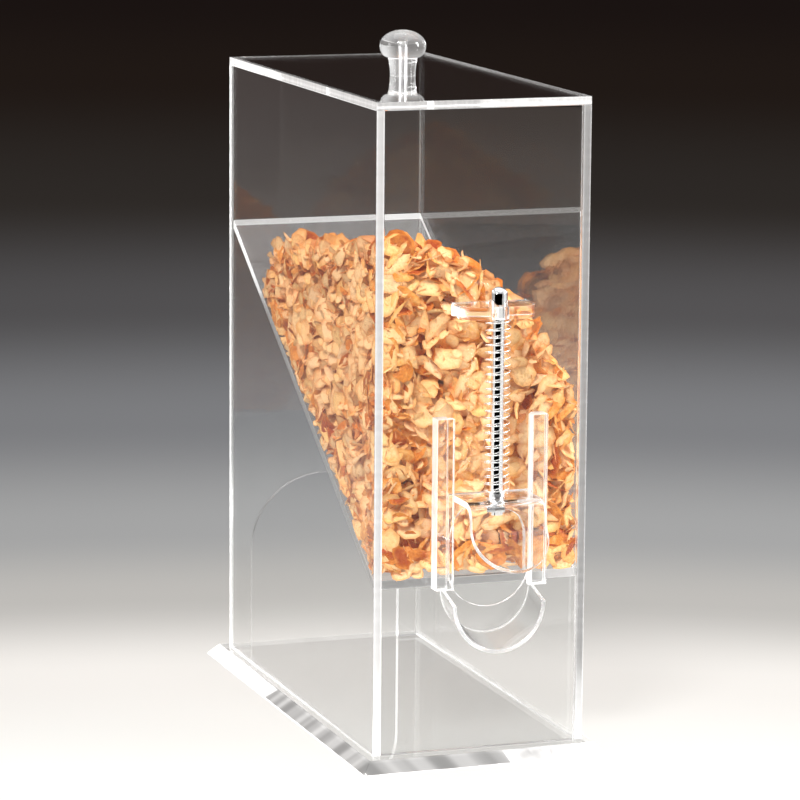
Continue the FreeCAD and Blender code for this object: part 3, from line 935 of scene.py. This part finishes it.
# the same finish darkened to a painted shade, for the core deep in the heap
toasted_in_painted_shade = make_toasted("toasted_in_painted_shade", 0.3)
print("flake finishes:", toasted.name, toasted_in_painted_shade.name)

# %% [markdown]
# Four layers of flakes, each its own piece so that none is too heavy to handle.  The
# outermost lies flattest, with crumbs between, and the deeper ones stand more on edge and
# fill the gaps.

# %% scatter the layers
press_gap = 0.25 * mm
press_softness = 0.5 * mm
lean_to_front = Vector((0, -0.5, 0.1))
heap_low, heap_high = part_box("cereal_fill")
wall_planes = {
    "Left": (Vector((heap_low.x - press_gap, 0, 0)), X),
    "Right": (Vector((heap_high.x + press_gap, 0, 0)), -X),
    "Front": (Vector((0, heap_low.y - press_gap, 0)), Y),
    "Floor": (Vector((0, ramp_front, ramp_lip)) + ramp_normal * press_gap, ramp_normal),
}
layers = (  # name; least and most depth, spacing, least and most radius in mm; tilt; tones; seed
    ("flakes_outer", (2.5, 8.0), 8.0, (5.0, 12.0), 1.0, (0.35, 1.0), 11),
    ("flakes_crumbs", (1.0, 6.0), 10.0, (2.5, 5.0), 1.3, (0.35, 0.9), 17),
    ("flakes_middle", (8.0, 13.0), 8.5, (6.0, 11.0), 1.1, (-0.25, 0.4), 23),
    ("flakes_inner", (14.0, 19.0), 10.0, (8.0, 12.0), 1.2, (-0.6, 0.0), 37),
)


def scatter(name, depths, spacing, radii, tilt, tones, seed):
    """One layer of flakes as a plain mesh that rides on the bin."""
    layer = new_piece(name, merged_copy("cereal_fill"))
    modifier = layer.modifiers.new("scatter", "NODES")
    modifier.node_group = scatter_tree
    values = {"Flake kinds": flake_kinds, "Finish": toasted, "Last kind": flake_shapes - 1,
              "Spacing": spacing * mm, "Shallowest": depths[0] * mm, "Deepest": depths[1] * mm,
              "Smallest": radii[0] * mm, "Largest": radii[1] * mm, "Tilt": tilt, "Lean": lean_to_front,
              "Darkest": tones[0], "Palest": tones[1], "Softness": press_softness, "Seed": seed}
    for wall, (point, normal) in wall_planes.items():
        values[wall + " point"] = point
        values[wall + " normal"] = normal
    sockets = {item.name: item.identifier for item in scatter_tree.interface.items_tree
               if item.item_type == "SOCKET" and item.in_out == "INPUT"}
    for title, value in values.items():
        modifier[sockets[title]] = value
    graph = bpy.context.evaluated_depsgraph_get()
    flakes = bpy.data.meshes.new_from_object(layer.evaluated_get(graph), depsgraph=graph)
    layer.modifiers.remove(modifier)
    layer.data = flakes
    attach(layer, "bin")
    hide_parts("cereal_fill")
    print("%-14s %6d triangles" % (name, sum(len(p.vertices) - 2 for p in flakes.polygons)))


for layer in layers:
    scatter(*layer)
for flake in list(flake_kinds.objects):
    bpy.data.objects.remove(flake)
bpy.data.collections.remove(flake_kinds)

# %% [markdown]
# The middle of the heap is never seen clearly, so one lumpy body, darkened with painted
# shade, closes it.

# %% the core of the heap
core_depth = 22.0 * mm
core_step = 12.0 * mm
core_clear = 12.0 * mm
core_cuts = 5
lump_height = 3.0 * mm
lumps_per_metre = 120


def make_core():
    """The heap shrunk towards its middle, cut finer and made lumpy."""
    shape = merged_copy("cereal_fill")
    for _ in range(core_cuts):
        long_edges = [e for e in shape.edges if e.calc_length() > core_step]
        bmesh.ops.subdivide_edges(shape, edges=long_edges, cuts=1)
        bmesh.ops.triangulate(shape, faces=shape.faces)
    shape.normal_update()
    for corner in shape.verts:
        lump = lump_height * noise.noise(corner.co * lumps_per_metre)
        corner.co -= corner.normal * (core_depth + lump)
    for point, normal in wall_planes.values():
        for corner in shape.verts:
            corner.co += normal * max(0.0, core_clear - (corner.co - point).dot(normal))
    core = new_piece("flakes_core", shape)
    core.data.materials.append(toasted_in_painted_shade)
    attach(core, "bin")
    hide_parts("cereal_fill")
    return core


print("core faces:", len(make_core().data.polygons))
